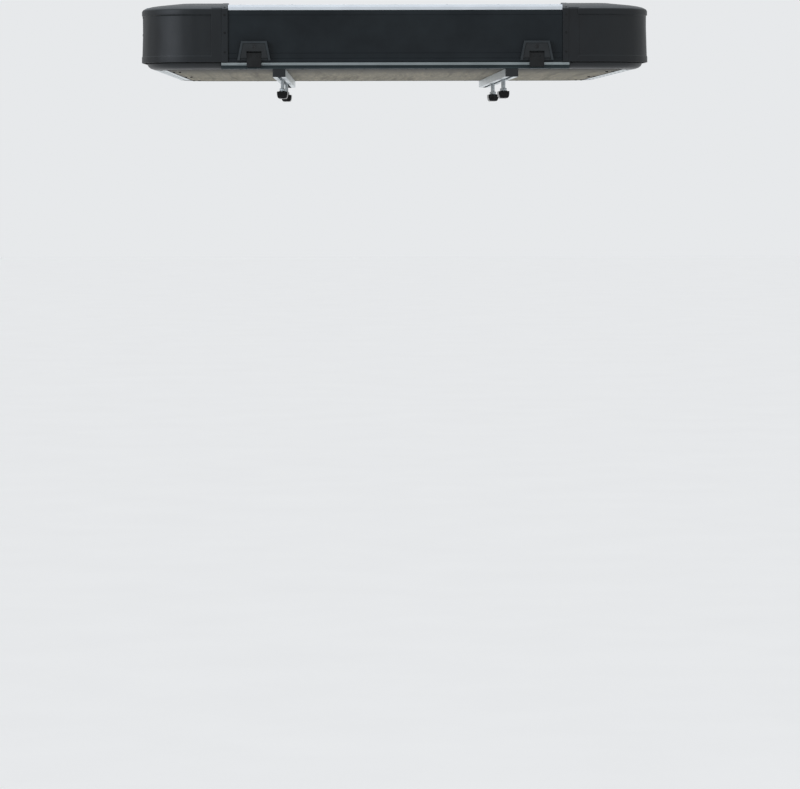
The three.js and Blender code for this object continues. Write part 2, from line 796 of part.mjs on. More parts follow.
corners.forEach((corner, quarter) => {
  const turn = quarter * Math.PI / 2;
  const x = (halfWidth - cornerRadius) * (quarter < 2 ? 1 : -1);
  const y = (halfLength - cornerRadius) * (quarter === 1 || quarter === 2 ? 1 : -1);
  const baseCorner = cornerRun(roundedBaseSection(), baseReach);
  add(base, `base_corner_${corner}`, baseCorner, finishes.moulding, [x, y, 0], turn);
  add(lid, `lid_corner_${corner}`, lidCorner(), finishes.moulding, [x, y, 0], turn);
});

add(base, 'floor_panel', floorPanel(), finishes.plywood);
add(base, 'floor_mat', floorMat(), finishes.mat);
add(lid, 'roof_panel', roofPanel(), finishes.silver);
add(lid, 'lid_seal', lidSeal(), finishes.rubber);

for (const [end, sign] of [['front', -1], ['rear', 1]]) {
  add(lid, `roof_bow_${end}`, roofBow(), finishes.silver, [0, sign * bowSpacing / 2, 0]);
}

for (const [side, sign] of [['left', -1], ['right', 1]]) {
  const hingeAt = [sign * hingeX, hingeAxisY, hingeAxisZ];
  add(base, `hinge_base_leaf_${side}`, hingeBaseLeaf(), finishes.steel, hingeAt);
  add(base, `hinge_pin_${side}`, hingePin(), finishes.steel, hingeAt);
  add(lid, `hinge_lid_leaf_${side}`, hingeLidLeaf(), finishes.steel, hingeAt);

  const latch = new THREE.Group();
  latch.position.set(sign * latchX, -hardwareFace, lidBottom);
  lid.add(latch);
  const leverAt = [0, -leverPivotOut, leverPivotRise];
  add(latch, `latch_housing_${side}`, latchHousing(), finishes.latchPlastic);
  add(latch, `latch_lever_${side}`, latchLever(), finishes.latchPlastic, leverAt);
  add(latch, `latch_hook_${side}`, latchHook(), finishes.blackSteel, [0, -leverPivotOut, hookPivotZ]);
  add(latch, `latch_lock_${side}`, latchLock(), finishes.brass,
    [0, -leverPivotOut, leverPivotRise + lockRise]);

  // The fittings are drawn for the right side; half a turn about their own upright axis suits the left.
  const turn = sign < 0 ? Math.PI : 0;
  const footAt = [sign * strutX, hingeAxisY - strutFootBack, hingeAxisZ + strutFootRise];
  const headAt = [sign * strutX, hingeAxisY - strutHeadBack, hingeAxisZ + strutHeadRise];
  add(base, `strut_foot_${side}`, strutFoot(), finishes.blackSteel, footAt, turn);
  add(lid, `strut_head_${side}`, strutHead(), finishes.blackSteel, headAt, turn);
  const strut = new THREE.Group();
  strut.position.set(...footAt);
  strut.rotation.x = -strutTilt;
  cargoBox.add(strut);
  add(strut, `strut_cylinder_${side}`, strutCylinder(), finishes.blackSteel);
  add(strut, `strut_rod_${side}`, strutRod(), finishes.steel);

  const railX = sign * mountRailX;
  add(base, `mount_rail_${side}`, mountRail(), finishes.silver, [railX, 0, 0]);
  for (const [end, way] of [['front', -1], ['rear', 1]]) {
    const capY = way * (halfLength - lowerFace);
    add(base, `rail_end_cap_${end}_${side}`, railEndCap(), finishes.moulding,
      [railX, capY, 0], way < 0 ? 0 : Math.PI);
    const clampAt = [railX, clampPositions[end], 0];
    add(cargoBox, `clamp_carriage_${end}_${side}`, clampCarriage(), finishes.steel, clampAt);
    add(cargoBox, `clamp_jaw_${end}_${side}`, clampJaw(), finishes.blackSteel, clampAt);
  }
}

export default cargoBox;
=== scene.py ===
import json
import math

import bpy
from mathutils import Matrix, Vector

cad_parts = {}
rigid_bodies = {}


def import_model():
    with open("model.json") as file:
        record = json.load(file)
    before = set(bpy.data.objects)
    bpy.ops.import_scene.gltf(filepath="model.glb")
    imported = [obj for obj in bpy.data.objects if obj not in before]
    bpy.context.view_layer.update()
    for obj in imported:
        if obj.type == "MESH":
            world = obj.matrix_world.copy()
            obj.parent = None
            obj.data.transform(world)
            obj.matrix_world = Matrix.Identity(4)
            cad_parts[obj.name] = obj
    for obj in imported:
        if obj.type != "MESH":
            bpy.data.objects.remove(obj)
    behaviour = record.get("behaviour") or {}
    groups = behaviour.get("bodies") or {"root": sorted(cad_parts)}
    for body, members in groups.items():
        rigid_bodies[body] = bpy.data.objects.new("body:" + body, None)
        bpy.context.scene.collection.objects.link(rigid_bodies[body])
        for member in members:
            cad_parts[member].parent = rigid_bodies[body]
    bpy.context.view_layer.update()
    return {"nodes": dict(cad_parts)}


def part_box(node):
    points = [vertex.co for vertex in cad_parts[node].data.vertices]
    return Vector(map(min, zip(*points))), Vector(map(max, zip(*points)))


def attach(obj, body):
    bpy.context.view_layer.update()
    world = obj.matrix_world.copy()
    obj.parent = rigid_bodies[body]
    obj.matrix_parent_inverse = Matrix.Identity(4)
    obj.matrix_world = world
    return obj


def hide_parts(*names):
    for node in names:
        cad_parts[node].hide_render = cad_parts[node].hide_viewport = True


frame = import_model()
mm = 0.001
corners = ["front_right", "rear_right", "rear_left", "front_left"]
sides = {"left": -1, "right": 1}
ends = ["front", "rear"]


# small helpers

def deselect():
    if bpy.context.mode != "OBJECT":
        bpy.ops.object.mode_set(mode="OBJECT")
    bpy.ops.object.select_all(action="DESELECT")


def pick(obj):
    deselect()
    obj.select_set(True)
    bpy.context.view_layer.objects.active = obj


def edit(obj, mode="FACE"):
    pick(obj)
    bpy.ops.object.mode_set(mode="EDIT")
    bpy.ops.mesh.select_mode(type=mode)
    bpy.ops.mesh.select_all(action="DESELECT")


def done():
    bpy.ops.object.mode_set(mode="OBJECT")


def chooseFaces(obj, test):
    # leaves the object in edit mode with the faces that pass selected
    edit(obj)
    done()
    for face in obj.data.polygons:
        face.select = bool(test(face.center, face.normal))
    bpy.ops.object.mode_set(mode="EDIT")


def chooseVerts(obj, test):
    edit(obj, "VERT")
    done()
    for vert in obj.data.vertices:
        vert.select = bool(test(vert.co))
    bpy.ops.object.mode_set(mode="EDIT")


def placeIn(obj, matrix):
    # the place goes into the mesh, the object stays at the origin
    pick(obj)
    obj.matrix_world = matrix
    bpy.ops.object.transform_apply(location=True, rotation=True, scale=True)
    return obj


def twin(obj, name):
    pick(obj)
    bpy.ops.object.duplicate(linked=False)
    copy = bpy.context.active_object
    copy.name = name
    return copy


def copyNode(node, name):
    copy = twin(frame["nodes"][node], name)
    bpy.ops.object.parent_clear(type="CLEAR_KEEP_TRANSFORM")
    copy.data.materials.clear()
    edit(copy)
    bpy.ops.mesh.select_all(action="SELECT")
    bpy.ops.mesh.remove_doubles(threshold=0.00002)
    bpy.ops.mesh.dissolve_limited(angle_limit=math.radians(0.5))
    done()
    return copy


def modify(obj, kind, **settings):
    pick(obj)
    added = obj.modifiers.new(kind.title(), kind)
    for key, value in settings.items():
        setattr(added, key, value)
    bpy.ops.object.modifier_apply(modifier=added.name)


def softenEdges(obj, width, segments=2, angle=32):
    modify(obj, "BEVEL", width=width, segments=segments, limit_method="ANGLE",
           angle_limit=math.radians(angle), miter_outer="MITER_ARC")
    pick(obj)
    bpy.ops.object.shade_smooth_by_angle(angle=math.radians(38))
    modify(obj, "WEIGHTED_NORMAL", keep_sharp=True)


def join(parts, name):
    deselect()
    for part in parts:
        part.select_set(True)
    bpy.context.view_layer.objects.active = parts[0]
    bpy.ops.object.join()
    whole = bpy.context.active_object
    whole.name = name
    return whole


def finishPiece(obj, body, slot, material, *nodes):
    obj.data.materials.clear()
    obj.data.materials.append(material)
    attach(obj, body)
    if nodes:
        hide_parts(*nodes)
    return obj


def turnTo(normal):
    return Vector((0, 0, 1)).rotation_difference(Vector(normal)).to_matrix().to_4x4()


# materials

def toLinear(hexColor):
    # sRGB to linear, with an alpha of 1
    channels = [int(hexColor[i:i + 2], 16) / 255 for i in (1, 3, 5)]
    linear = [c / 12.92 if c <= 0.04045 else ((c + 0.055) / 1.055) ** 2.4 for c in channels]
    return (*linear, 1.0)


def addNode(tree, kind, settings=None, **links):
    node = tree.nodes.new(kind)
    for key, value in (settings or {}).items():
        if isinstance(key, int) or key in node.inputs:
            node.inputs[key].default_value = value
        else:
            setattr(node, key, value)
    for key, source in links.items():
        # at_0 is the socket's number, any other key is its name
        socket = int(key[3:]) if key.startswith("at_") else key.replace("_", " ")
        tree.links.new(source, node.inputs[socket])
    return node


def startMaterial(name, **base):
    material = bpy.data.materials.new(name)
    material.use_nodes = True
    tree = material.node_tree
    shader = tree.nodes["Principled BSDF"]
    for key, value in base.items():
        shader.inputs[key.replace("_", " ")].default_value = value
    coords = addNode(tree, "ShaderNodeTexCoord").outputs["Object"]
    return material, tree, shader, coords


def noiseAt(tree, coords, stretch, scale, detail=4, roughness=0.55):
    # stretch is a size along each axis relative to the pattern: 1 is even, 0.02 makes long streaks
    mapping = addNode(tree, "ShaderNodeMapping", {"Scale": stretch}, Vector=coords)
    noise = {"Scale": scale, "Detail": detail, "Roughness": roughness}
    return addNode(tree, "ShaderNodeTexNoise", noise, Vector=mapping.outputs["Vector"]).outputs["Fac"]


def ramp(tree, source, stops):
    node = addNode(tree, "ShaderNodeValToRGB", Fac=source)
    elements = node.color_ramp.elements
    while len(elements) < len(stops):
        elements.new(0.5)
    for element, (at, color) in zip(elements, stops):
        element.position = at
        element.color = toLinear(color)
    return node.outputs["Color"]


def mixColors(tree, factor, first, second):
    node = addNode(tree, "ShaderNodeMix", {"data_type": "RGBA"})
    for socket, value in ((0, factor), (6, first), (7, second)):
        if isinstance(value, (int, float, tuple)):
            node.inputs[socket].default_value = value
        else:
            tree.links.new(value, node.inputs[socket])
    return node.outputs[2]


def spread(tree, source, low, high, fromLow=0.3, fromHigh=0.7):
    # stretches a pattern's middle values over low to high
    limits = {"From Min": fromLow, "From Max": fromHigh, "To Min": low, "To Max": high}
    return addNode(tree, "ShaderNodeMapRange", limits, Value=source).outputs["Result"]


def facing(tree):
    # the Z of the surface's normal: 1 faces up
    normal = addNode(tree, "ShaderNodeNewGeometry").outputs["Normal"]
    return addNode(tree, "ShaderNodeSeparateXYZ", Vector=normal).outputs["Z"]


def bumpFrom(tree, height, strength, distance, normal=None):
    node = addNode(tree, "ShaderNodeBump", {"Strength": strength, "Distance": distance}, Height=height)
    if normal is not None:
        tree.links.new(normal, node.inputs["Normal"])
    return node.outputs["Normal"]


def drawnAluminium(name, along, dark, light, rough, dieLines=0.25):
    # extruded bar, etched and anodised: satin, with faint die lines along its length
    material, tree, shader, coords = startMaterial(name, Metallic=1.0)
    stretch = {"x": (0.004, 1, 1), "y": (1, 0.004, 1)}[along]
    lines = noiseAt(tree, coords, stretch, 1400, 3)
    cloud = noiseAt(tree, coords, (1, 1, 1), 6, 5)
    color = ramp(tree, cloud, [(0.3, dark), (0.7, light)])
    streaked = mixColors(tree, spread(tree, lines, 0.0, 0.35), color, toLinear(dark))
    tree.links.new(streaked, shader.inputs["Base Color"])
    tree.links.new(spread(tree, lines, rough - 0.05, rough + 0.09), shader.inputs["Roughness"])
    tree.links.new(bumpFrom(tree, lines, dieLines, 0.00012), shader.inputs["Normal"])
    return material


def blackAnodised(name, along):
    # black anodised bar: nearly neutral blue-black with a soft sheen, dust dulling it in patches
    material, tree, shader, coords = startMaterial(name, Specular_IOR_Level=0.14)
    stretch = {"x": (0.004, 1, 1), "y": (1, 0.004, 1)}[along]
    drift = {"x": (0.3, 1, 1.4), "y": (1, 0.3, 1.4)}[along]
    lines = noiseAt(tree, coords, stretch, 1200, 3)
    dustAndSheen = noiseAt(tree, coords, (1, 1, 1), 9, 7, 0.62)
    wash = noiseAt(tree, coords, drift, 5, 4)
    color = ramp(tree, dustAndSheen, [(0.32, "#111518"), (0.72, "#1b2023")])
    color = mixColors(tree, spread(tree, wash, 0.0, 0.45), color, toLinear("#1b2226"))
    tree.links.new(color, shader.inputs["Base Color"])
    tree.links.new(spread(tree, dustAndSheen, 0.36, 0.5), shader.inputs["Roughness"])
    tree.links.new(bumpFrom(tree, lines, 0.3, 0.00012), shader.inputs["Normal"])
    return material


def rolledSheet(name):
    # mill-rolled aluminium sheet, clear anodised: bright, long rolling marks, faintly uneven
    material, tree, shader, coords = startMaterial(name, Metallic=1.0)
    marks = noiseAt(tree, coords, (1, 0.006, 1), 900, 4)
    pull = noiseAt(tree, coords, (1, 0.6, 1), 2.2, 2)
    smear = noiseAt(tree, coords, (1, 0.08, 1), 9, 5, 0.6)
    color = ramp(tree, smear, [(0.3, "#c3c8cd"), (0.7, "#d0d5d9")])
    tree.links.new(mixColors(tree, spread(tree, marks, 0.0, 0.3), color, toLinear("#b4bbc1")),
                   shader.inputs["Base Color"])
    tree.links.new(spread(tree, marks, 0.5, 0.64), shader.inputs["Roughness"])
    wave = bumpFrom(tree, pull, 0.08, 0.004)
    tree.links.new(bumpFrom(tree, marks, 0.2, 0.0001, wave), shader.inputs["Normal"])
    return material


def mouldedPlastic(name, dark, light, waviness, rough=0.42):
    # black ABS, thermoformed: a soft sheen over shallow waves, fine grain, grey dust and painted sky
    # sheen where it faces up
    material, tree, shader, coords = startMaterial(name, IOR=1.52, Specular_IOR_Level=0.26)
    waves = noiseAt(tree, coords, (1, 1, 0.45), 11, 2)
    grain = noiseAt(tree, coords, (1, 1, 1), 1900, 2)
    rub = noiseAt(tree, coords, (1, 1, 0.5), 8, 6, 0.6)
    # painted sheen: faces turned up are mixed towards grey in patches, standing in for the sky's
    # reflection as well as dust
    upFacingSheen = spread(tree, facing(tree), 0.0, 0.5, 0.3, 0.95)
    dustAndSheen = addNode(tree, "ShaderNodeMath", {"operation": "MULTIPLY"},
                   at_0=upFacingSheen, at_1=spread(tree, rub, 0.7, 1.0)).outputs[0]
    color = mixColors(tree, dustAndSheen, ramp(tree, rub, [(0.3, dark), (0.72, light)]), toLinear("#50565a"))
    tree.links.new(color, shader.inputs["Base Color"])
    tree.links.new(spread(tree, rub, rough - 0.05, rough + 0.1), shader.inputs["Roughness"])
    wave = bumpFrom(tree, waves, waviness, 0.006)
    tree.links.new(bumpFrom(tree, grain, 0.12, 0.0001, wave), shader.inputs["Normal"])
    return material


def birchPlywood(name):
    # rotary-cut birch face veneer, oiled: matt, grain along the box, dark streaks, painted shade
    # darkening towards the leading edge, deepest just behind the rail; plies on the edge
    material, tree, shader, coords = startMaterial(name, Specular_IOR_Level=0.1)
    warp = noiseAt(tree, coords, (1, 0.25, 1), 3.0, 4)
    bent = addNode(tree, "ShaderNodeVectorMath", {"operation": "MULTIPLY_ADD", 1: (0.06, 0.0, 0.0)},
                   at_0=warp, at_2=coords).outputs["Vector"]
    grain = noiseAt(tree, bent, (1, 0.035, 1), 95, 6, 0.62)
    pores = noiseAt(tree, bent, (1, 0.012, 1), 620, 3)
    bands = noiseAt(tree, bent, (1, 0.06, 1), 11, 4)
    face = ramp(tree, grain, [(0.3, "#5f5a4d"), (0.5, "#7b7667"), (0.7, "#98927f")])
    face = mixColors(tree, spread(tree, bands, 0.0, 0.45), face, toLinear("#66645a"))
    streak = noiseAt(tree, bent, (1, 0.02, 1), 26, 5, 0.7)
    face = mixColors(tree, spread(tree, streak, 0.75, 0.0, 0.34, 0.5), face, toLinear("#3f3a2f"))
    face = mixColors(tree, spread(tree, pores, 0.3, 0.0, 0.3, 0.5), face, toLinear("#5f553f"))
    apart = addNode(tree, "ShaderNodeSeparateXYZ", Vector=coords).outputs
    # painted shade: the face darkens from the middle of the box towards the leading edge
    paintedFrontShade = spread(tree, apart["Y"], 0.5, 0.0, -1.0, 0.2)
    face = mixColors(tree, paintedFrontShade, face, toLinear("#4f4e48"))
    paintedRailShadow = spread(tree, apart["Y"], 0.85, 0.0, -0.92, -0.3)  # painted shadow just behind the leading rail
    face = mixColors(tree, paintedRailShadow, face, toLinear("#2e2e2b"))
    plyThickness = 1.4 * mm
    ply = addNode(tree, "ShaderNodeMath", {"operation": "PINGPONG", 1: plyThickness},
                  at_0=apart["Z"]).outputs[0]
    edge = ramp(tree, spread(tree, ply, 0, 1, 0.4 * mm, 1 * mm), [(0.2, "#bdae8b"), (0.8, "#7c6a4b")])
    isFace = addNode(tree, "ShaderNodeMath", {"operation": "ABSOLUTE"}, at_0=facing(tree)).outputs[0]
    tree.links.new(mixColors(tree, spread(tree, isFace, 0, 1, 0.4, 0.6), edge, face),
                   shader.inputs["Base Color"])
    tree.links.new(spread(tree, grain, 0.6, 0.75), shader.inputs["Roughness"])
    tree.links.new(bumpFrom(tree, pores, 0.25, 0.00025), shader.inputs["Normal"])
    return material


def needleFelt(name):
    # needle-punched polyester liner: matt, mixed grey fibres about 0.5 mm across, drawn at 2 mm to show
    material, tree, shader, coords = startMaterial(
        name, Roughness=0.95, Sheen_Weight=0.3, Sheen_Roughness=0.6)
    fibres = noiseAt(tree, coords, (1, 0.5, 1), 480, 6, 0.7)
    tufts = noiseAt(tree, coords, (1, 1, 1), 60, 5, 0.65)
    color = ramp(tree, fibres, [(0.3, "#2b2d30"), (0.55, "#3c3f43"), (0.8, "#5b5f64")])
    tree.links.new(mixColors(tree, spread(tree, tufts, 0, 0.5), color, toLinear("#303236")),
                   shader.inputs["Base Color"])
    tree.links.new(bumpFrom(tree, fibres, 0.7, 0.0012), shader.inputs["Normal"])
    return material


def foamRubber(name):
    # extruded EPDM: dull black skin with tiny pores
    material, tree, shader, coords = startMaterial(name, IOR=1.5)
    pores = noiseAt(tree, coords, (1, 1, 1), 700, 4)
    tree.links.new(ramp(tree, pores, [(0.3, "#121314"), (0.7, "#1f2022")]), shader.inputs["Base Color"])
    tree.links.new(spread(tree, pores, 0.62, 0.82), shader.inputs["Roughness"])
    tree.links.new(bumpFrom(tree, pores, 0.3, 0.0003), shader.inputs["Normal"])
    return material


def platedSteel(name, dark, light, rough):
    # zinc or chrome plate on steel: cool metal, faint patches from the bath, fine scratches
    material, tree, shader, coords = startMaterial(name, Metallic=1.0)
    bath = noiseAt(tree, coords, (1, 1, 1), 70, 5)
    scratch = noiseAt(tree, coords, (1, 0.2, 0.6), 800, 4)
    tree.links.new(ramp(tree, bath, [(0.3, dark), (0.7, light)]), shader.inputs["Base Color"])
    tree.links.new(spread(tree, scratch, rough - 0.06, rough + 0.1), shader.inputs["Roughness"])
    tree.links.new(bumpFrom(tree, scratch, 0.15, 0.0001), shader.inputs["Normal"])
    return material


def powderCoat(name):
    # satin black polyester powder on steel: slight orange peel about 1.5 mm across
    material, tree, shader, coords = startMaterial(name, IOR=1.5, Specular_IOR_Level=0.22)
    peel = noiseAt(tree, coords, (1, 1, 1), 520, 2)
    dustAndSheen = noiseAt(tree, coords, (1, 1, 1), 40, 5)
    tree.links.new(ramp(tree, dustAndSheen, [(0.35, "#0d0e0f"), (0.75, "#17191a")]), shader.inputs["Base Color"])
    tree.links.new(spread(tree, dustAndSheen, 0.3, 0.42), shader.inputs["Roughness"])
    tree.links.new(bumpFrom(tree, peel, 0.35, 0.0003), shader.inputs["Normal"])
    return material


def glassNylon(name, dark, light):
    # injection-moulded glass-filled nylon with a spark-eroded texture about 0.8 mm across
    material, tree, shader, coords = startMaterial(name, IOR=1.53, Specular_IOR_Level=0.26)
    erode = noiseAt(tree, coords, (1, 1, 1), 1300, 3, 0.6)
    worn = noiseAt(tree, coords, (1, 1, 1), 30, 5)
    tree.links.new(ramp(tree, worn, [(0.35, dark), (0.75, light)]), shader.inputs["Base Color"])
    tree.links.new(spread(tree, erode, 0.36, 0.52), shader.inputs["Roughness"])
    tree.links.new(bumpFrom(tree, erode, 0.3, 0.00015), shader.inputs["Normal"])
    return material


looks = {
    "silverX": drawnAluminium("anodisedAluminiumAcross", "x", "#7f8789", "#98a0a2", 0.36),
    "silverY": drawnAluminium("anodisedAluminiumLengthwise", "y", "#a3abae", "#bcc3c6", 0.34),
    # painted shade: a darker copy of the silver, for the lower part of the end rails
    "shaded": drawnAluminium("paintedShadeAluminium", "x", "#30373a", "#3d4547", 0.48),
    "blackX": blackAnodised("blackAnodisedAcross", "x"),
    "blackY": blackAnodised("blackAnodisedLengthwise", "y"),
    "sheet": rolledSheet("rolledAluminiumSheet"),
    "abs": mouldedPlastic("thermoformedAbs", "#080b0e", "#12171a", 0.6, 0.47),
    "absDark": mouldedPlastic("mouldedAbsBase", "#17191b", "#222527", 0.25),
    "plywood": birchPlywood("birchPlywood"),
    "felt": needleFelt("needleFelt"),
    "rubber": foamRubber("epdmRubber"),
    "zinc": platedSteel("zincPlatedSteel", "#9aa0a4", "#b9bfc2", 0.34),
    "chrome": platedSteel("hardChromedSteel", "#b9bec1", "#cfd3d6", 0.14),
    "powder": powderCoat("blackPowderCoat"),
    "nylon": glassNylon("glassFilledNylonLever", "#15181a", "#202426"),
    "nylonLight": glassNylon("glassFilledNylonHousing", "#1d2225", "#282e31"),
    "lock": platedSteel("blackNickelledBrass", "#2c2d2e", "#3d3e3f", 0.3),
}
print("materials ready")


# corner mouldings: sections cut from the CAD corner, carried along a finer path

cornerShape = {
    "radius": 150 * mm,
    "turnSteps": 28,
    "band": 45 * mm,  # flat band beside each rail
    "lap": 3 * mm,  # how far the band overlaps the turned wall
    "draft": 5 * mm,  # the band's far end sinks this deep and runs out into the drafted wall
    "rim": 127 * mm,  # the rim's lower edge, above the lid's lower edge
    "strip": 16 * mm,  # narrow strip that covers the seam with the rail
    "stripProud": 0.7 * mm,
    "inside": 1 * mm,  # a section is cut this far in from the moulding's end
}


def cutSection(node, name, x):
    # the outline that an upright plane across the front leg leaves
    copy = copyNode(node, name)
    edit(copy, "EDGE")
    bpy.ops.mesh.select_all(action="SELECT")
    bpy.ops.mesh.bisect(plane_co=(x, 0, 0), plane_no=(1, 0, 0), use_fill=False,
                        clear_inner=True, clear_outer=True)
    done()
    return copy


def extrudeBy(step):
    bpy.ops.mesh.extrude_region_move(TRANSFORM_OT_translate={"value": step})


def turnCorner(section, centre, leg):
    # straight leg, quarter turn, straight leg
    edit(section, "EDGE")
    bpy.ops.mesh.select_all(action="SELECT")
    extrudeBy((leg, 0, 0))
    bpy.ops.mesh.spin(steps=cornerShape["turnSteps"], angle=-math.pi / 2, center=centre, axis=(0, 0, 1))
    extrudeBy((0, leg, 0))
    done()


def closeEnds(obj):
    edit(obj, "EDGE")
    bpy.ops.mesh.select_all(action="SELECT")
    bpy.ops.mesh.remove_doubles(threshold=0.00001)
    bpy.ops.mesh.select_all(action="DESELECT")
    bpy.ops.mesh.select_non_manifold()
    bpy.ops.mesh.fill_holes(sides=0)
    bpy.ops.mesh.select_all(action="SELECT")
    bpy.ops.mesh.normals_make_consistent(inside=False)
    done()


def quarterTurn(home, place, quarter):
    # turns about home by quarters of a circle, then carries home to place
    turn = Matrix.Rotation(quarter * math.pi / 2, 4, "Z")
    return Matrix.Translation(place) @ turn @ Matrix.Translation(-home)


def modelBaseCorner(centre):
    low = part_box("base_corner_front_right")[0]
    inside = cornerShape["inside"]
    corner = cutSection("base_corner_front_right", "baseCorner", low[0] + inside)
    placeIn(corner, Matrix.Translation((-inside, 0, 0)))
    turnCorner(corner, centre, centre.x - low[0])
    closeEnds(corner)
    softenEdges(corner, 1.2 * mm, 2)
    return corner


def modelLidCorner(centre):
    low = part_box("lid_corner_front_right")[0]
    band, lap, inside = cornerShape["band"], cornerShape["lap"], cornerShape["inside"]
    leg = centre.x - low[0]
    pastBand = 5 * mm
    hull = cutSection("lid_corner_front_right", "hull", low[0] + band + pastBand)
    placeIn(hull, Matrix.Translation((-pastBand - lap, 0, 0)))
    turnCorner(hull, centre, leg - band + lap)
    closeEnds(hull)
    front = cutSection("lid_corner_front_right", "seamBand", low[0] + inside)
    placeIn(front, Matrix.Translation((-inside, 0, 0)))
    strip = twin(front, "seamStrip")
    bands = ((front, band), (strip, cornerShape["strip"]))
    for piece, width in bands:
        edit(piece, "EDGE")
        bpy.ops.mesh.select_all(action="SELECT")
        extrudeBy((width, 0, 0))
        done()
        closeEnds(piece)
    outerSkin = low[1] + 6 * mm
    chooseVerts(front, lambda at: at.x > low[0] + band / 2 and at.y < outerSkin
                and at.z > low[2] + cornerShape["rim"])
    bpy.ops.transform.translate(value=(0, cornerShape["draft"], 0))
    done()
    proud = cornerShape["stripProud"]
    placeIn(strip, Matrix.Translation((0, -proud, proud)))
    around = quarterTurn(centre, centre, 1)
    pieces = [hull]
    for piece, width in bands:
        softenEdges(piece, 0.8 * mm, 2, 24)
        side = twin(piece, piece.name + "Side")
        pieces += [piece, placeIn(side, Matrix.Translation((0, 2 * leg - width, 0)) @ around)]
    softenEdges(hull, 1.2 * mm, 2)
    return join(pieces, "lidCorner")


lidLow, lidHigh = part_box("lid_corner_front_right")
halfWidth = lidHigh[0]
halfLength = -lidLow[1]
turnX = halfWidth - cornerShape["radius"]
turnY = halfLength - cornerShape["radius"]
turnHome = Vector((turnX, -turnY, 0))

lidCorner = modelLidCorner(turnHome)
baseCorner = modelBaseCorner(turnHome)
for quarter, corner in enumerate(corners):
    place = Vector((turnX if quarter < 2 else -turnX, turnY if quarter in (1, 2) else -turnY, 0))
    for model, node, body, look in ((lidCorner, "lid_corner_", "lid", "abs"),
                                    (baseCorner, "base_corner_", "base", "absDark")):
        piece = twin(model, model.name + "_" + corner)
        placeIn(piece, quarterTurn(turnHome, place, quarter))
        finishPiece(piece, body, "black_moulding", looks[look], node + corner)
for model in (lidCorner, baseCorner):
    bpy.data.objects.remove(model)
print("corner mouldings ready")


# black sealant bead between the floor panel and the rails, seen from below; its black line also stands
# in for the shadow along the rail flange's edge, a painted shadow

bead = {"width": 4.5 * mm, "thickness": 0.9 * mm, "ease": 0.3 * mm}
seam = copyNode("floor_panel", "sealantBeadAndShadowLine")
chooseFaces(seam, lambda centre, normal: normal.z < -0.9)
bpy.ops.mesh.select_all(action="INVERT")
bpy.ops.mesh.delete(type="FACE")
bpy.ops.mesh.select_all(action="SELECT")
bpy.ops.mesh.inset(thickness=bead["width"])
bpy.ops.mesh.delete(type="FACE")
done()
# the dark bead doubles as a painted shadow line along the flange edge
modify(seam, "SOLIDIFY", thickness=bead["thickness"], offset=1)
softenEdges(seam, bead["ease"], 2)
finishPiece(seam, "base", "seal_rubber", looks["rubber"])
print("sealant ready")


# pieces whose CAD shape only needs its edges eased

def ease(node, body, slot, look, width, segments=2):
    piece = copyNode(node, "eased_" + node)
    softenEdges(piece, width, segments)
    return finishPiece(piece, body, slot, looks[look], node)


def paintShadeBelow(piece, height, look):
    # the part of an end rail below its nose, and the nose's lower lip, get a darker copy of the silver:
    # painted shade
    edit(piece)
    bpy.ops.mesh.select_all(action="SELECT")
    bpy.ops.mesh.bisect(plane_co=(0, 0, height), plane_no=(0, 0, 1))
    done()
    piece.data.materials.append(looks[look])
    for face in piece.data.polygons:
        if face.center.z < height:
            face.material_index = 1


nose = {"height": 9.2 * mm, "lip": 1.6 * mm}  # silver nose of the end rails; its lower lip and what lies below it are painted in shade
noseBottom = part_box("base_front_rail")[1][2] - nose["height"]
for end in ends:
    rail = ease(f"base_{end}_rail", "base", "anodised_aluminium", "silverX", 0.35 * mm)
    paintShadeBelow(rail, noseBottom + nose["lip"], "shaded")
    ease(f"lid_{end}_rail", "lid", "black_anodised", "blackX", 0.35 * mm)
    ease(f"roof_bow_{end}", "lid", "anodised_aluminium", "silverX", 0.5 * mm)
for side in sides:
    ease(f"base_{side}_rail", "base", "anodised_aluminium", "silverY", 0.4 * mm)
    ease(f"lid_{side}_rail", "lid", "black_anodised", "blackY", 0.35 * mm)
    ease(f"mount_rail_{side}", "base", "anodised_aluminium", "silverY", 0.5 * mm)
    ease(f"hinge_base_leaf_{side}", "base", "zinc_steel", "zinc", 0.5 * mm)
    ease(f"hinge_lid_leaf_{side}", "lid", "zinc_steel", "zinc", 0.5 * mm)
    ease(f"hinge_pin_{side}", "base", "zinc_steel", "zinc", 0.4 * mm)
    ease(f"strut_foot_{side}", "base", "black_steel", "powder", 0.5 * mm)
    ease(f"strut_head_{side}", "lid", "black_steel", "powder", 0.5 * mm)
    ease(f"strut_cylinder_{side}", f"strut_cylinder_{side}", "black_steel", "powder", 0.4 * mm)
    ease(f"strut_rod_{side}", f"strut_rod_{side}", "zinc_steel", "chrome", 0.3 * mm)
    ease(f"latch_housing_{side}", "lid", "latch_plastic", "nylonLight", 1.6 * mm, 3)
    ease(f"latch_lever_{side}", f"latch_lever_{side}", "latch_plastic", "nylon", 0.7 * mm)
    ease(f"latch_hook_{side}", f"latch_hook_{side}", "black_steel", "powder", 0.5 * mm)
    ease(f"latch_lock_{side}", f"latch_lock_{side}", "lock_brass", "lock", 0.3 * mm)
    for end in ends:
        ease(f"rail_end_cap_{end}_{side}", "base", "black_moulding", "absDark", 1.0 * mm, 3)
        carriage = f"clamp_carriage_{end}_{side}"
        jaw = f"clamp_jaw_{end}_{side}"
        ease(carriage, carriage, "zinc_steel", "zinc", 0.4 * mm)
        ease(jaw, jaw, "black_steel", "powder", 1.5 * mm, 3)
ease("floor_panel", "base", "plywood", "plywood", 0.5 * mm)
ease("floor_mat", "base", "felt_mat", "felt", 1.5 * mm, 3)
